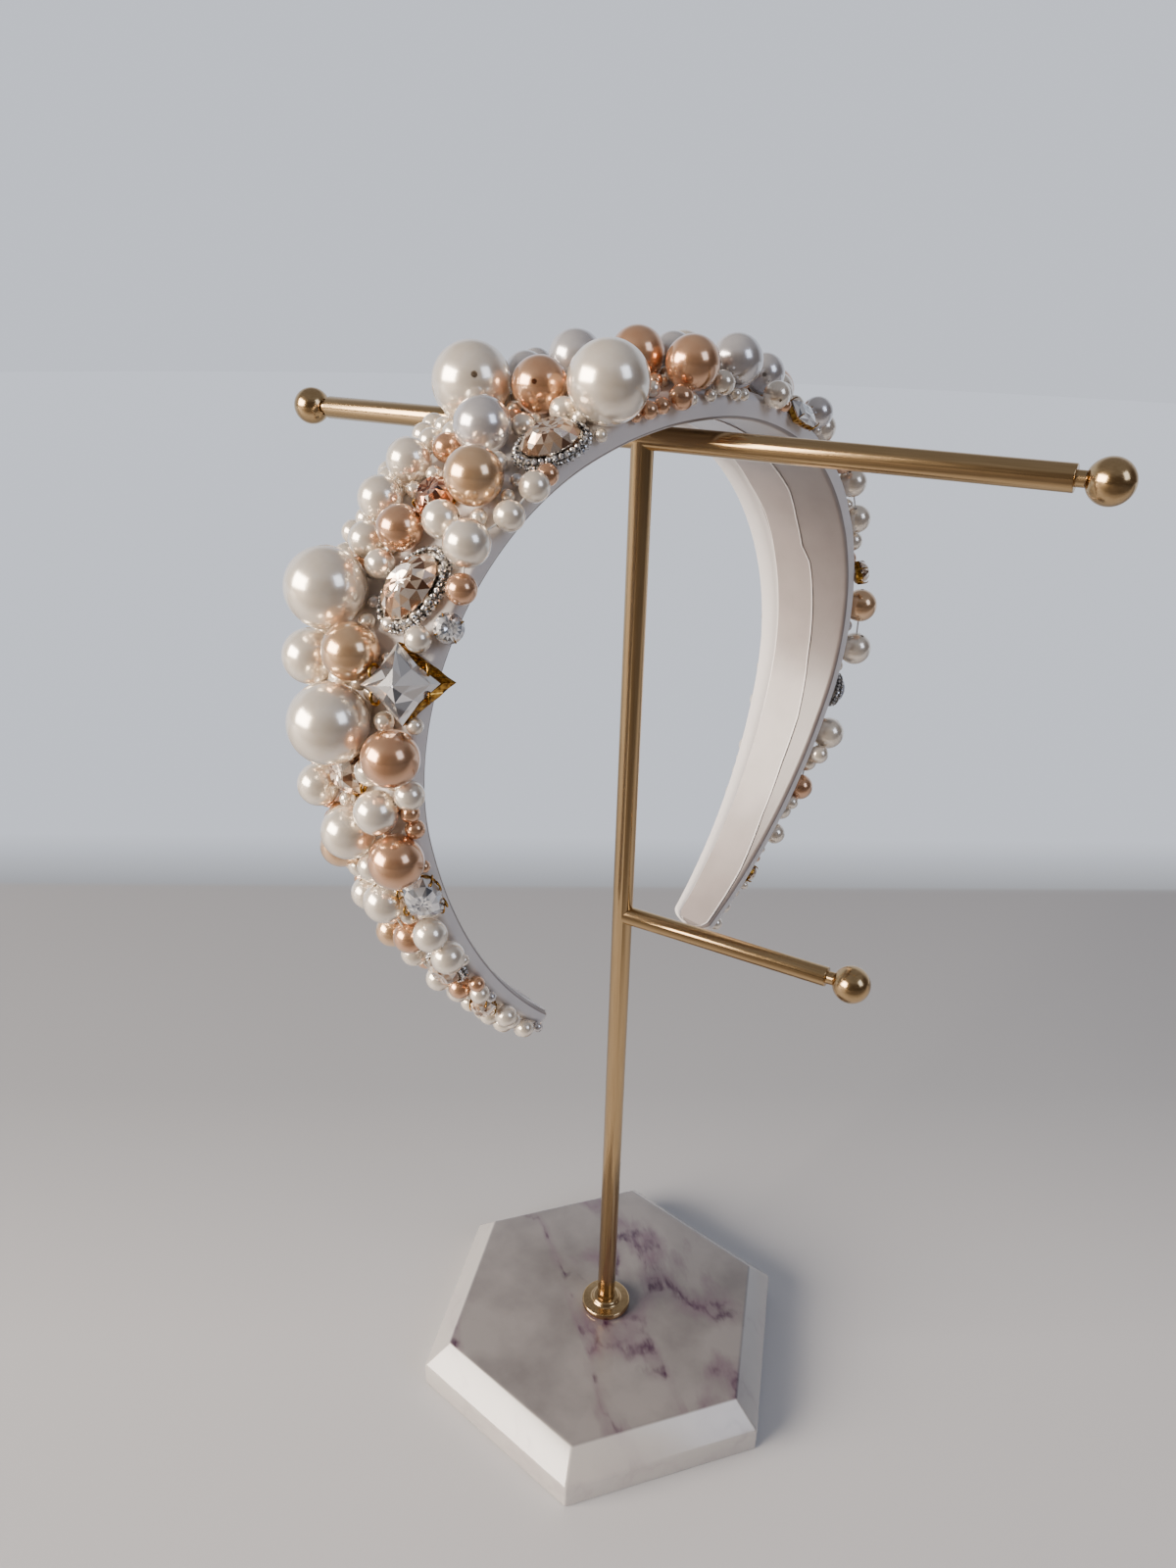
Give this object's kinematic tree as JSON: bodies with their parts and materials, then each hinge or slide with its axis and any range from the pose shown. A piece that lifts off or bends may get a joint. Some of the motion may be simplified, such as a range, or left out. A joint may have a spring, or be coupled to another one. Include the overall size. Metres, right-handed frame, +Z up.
{
  "type": "bridal headband on a jewellery stand",
  "caption": "Padded satin bridal headband trimmed with pearls and faceted crystals, hanging over the crossbar of a gold rod stand with a marble foot.",
  "frame": {"origin": "centre of the stand's foot, under the pole, on the surface it stands on", "axes": "+Z up along the pole, +X along the crossbar to the side of the lower arm"},
  "size_m": [0.199, 0.177, 0.2926],
  "materials": {
    "marble": "polished white marble with grey and mauve veins",
    "brushed_gold": "fine brushed gold",
    "ribbed_satin": "white satin with fine ribs over padding",
    "satin_ribbon": "plain white satin ribbon",
    "pearl_ivory": "ivory pearl lustre",
    "pearl_silver": "silver grey pearl lustre",
    "pearl_champagne": "champagne pearl lustre",
    "pearl_rose": "rose gold pearl lustre",
    "clear_crystal": "clear foiled faceted crystal",
    "champagne_crystal": "champagne foiled faceted crystal",
    "rose_crystal": "rose foiled faceted crystal",
    "smoke_crystal": "smoke grey foiled faceted crystal"
  },
  "bodies": {
    "root": {"arm_ball": "brushed_gold", "bar_ball_left": "brushed_gold", "bar_ball_right": "brushed_gold", "crystal_baguette_10": "clear_crystal", "crystal_cushion_06": "champagne_crystal", "crystal_cushion_07": "clear_crystal", "crystal_cushion_15": "champagne_crystal", "crystal_oval_01": "champagne_crystal", "crystal_oval_02": "champagne_crystal", "crystal_oval_08": "champagne_crystal", "crystal_oval_11": "champagne_crystal", "crystal_oval_14": "smoke_crystal", "crystal_round_03": "rose_crystal", "crystal_round_04": "clear_crystal", "crystal_round_09": "champagne_crystal", "crystal_round_12": "champagne_crystal", "crystal_round_16": "champagne_crystal", "crystal_star_05": "clear_crystal", "crystal_star_13": "clear_crystal", "headband_band": "ribbed_satin", "headband_lining": "satin_ribbon", "pearl_grand_01": "pearl_ivory", "pearl_grand_02": "pearl_ivory", "pearl_grand_03": "pearl_ivory", "pearl_grand_04": "pearl_ivory", "pearl_large_05": "pearl_rose", "pearl_large_06": "pearl_silver", "pearl_large_07": "pearl_rose", "pearl_large_08": "pearl_silver", "pearl_large_09": "pearl_champagne", "pearl_large_10": "pearl_champagne", "pearl_large_11": "pearl_rose", "pearl_large_12": "pearl_ivory", "pearl_large_13": "pearl_rose", "pearl_large_14": "pearl_rose", "pearl_large_15": "pearl_silver", "pearl_large_16": "pearl_ivory", "pearl_large_17": "pearl_rose", "pearl_large_18": "pearl_champagne", "pearl_large_19": "pearl_ivory", "spray_01": "pearl_silver", "spray_02": "pearl_ivory", "spray_03": "pearl_ivory", "spray_04": "pearl_champagne", "spray_05": "pearl_ivory", "spray_06": "pearl_ivory", "spray_07": "pearl_ivory", "spray_08": "pearl_ivory", "spray_09": "pearl_ivory", "spray_10": "pearl_rose", "spray_11": "pearl_ivory", "spray_12": "pearl_ivory", "spray_13": "pearl_ivory", "spray_14": "pearl_champagne", "spray_15": "pearl_ivory", "spray_16": "pearl_ivory", "stand_base": "marble", "stand_collar": "brushed_gold", "stand_frame": "brushed_gold"}
  },
  "joints": []
}
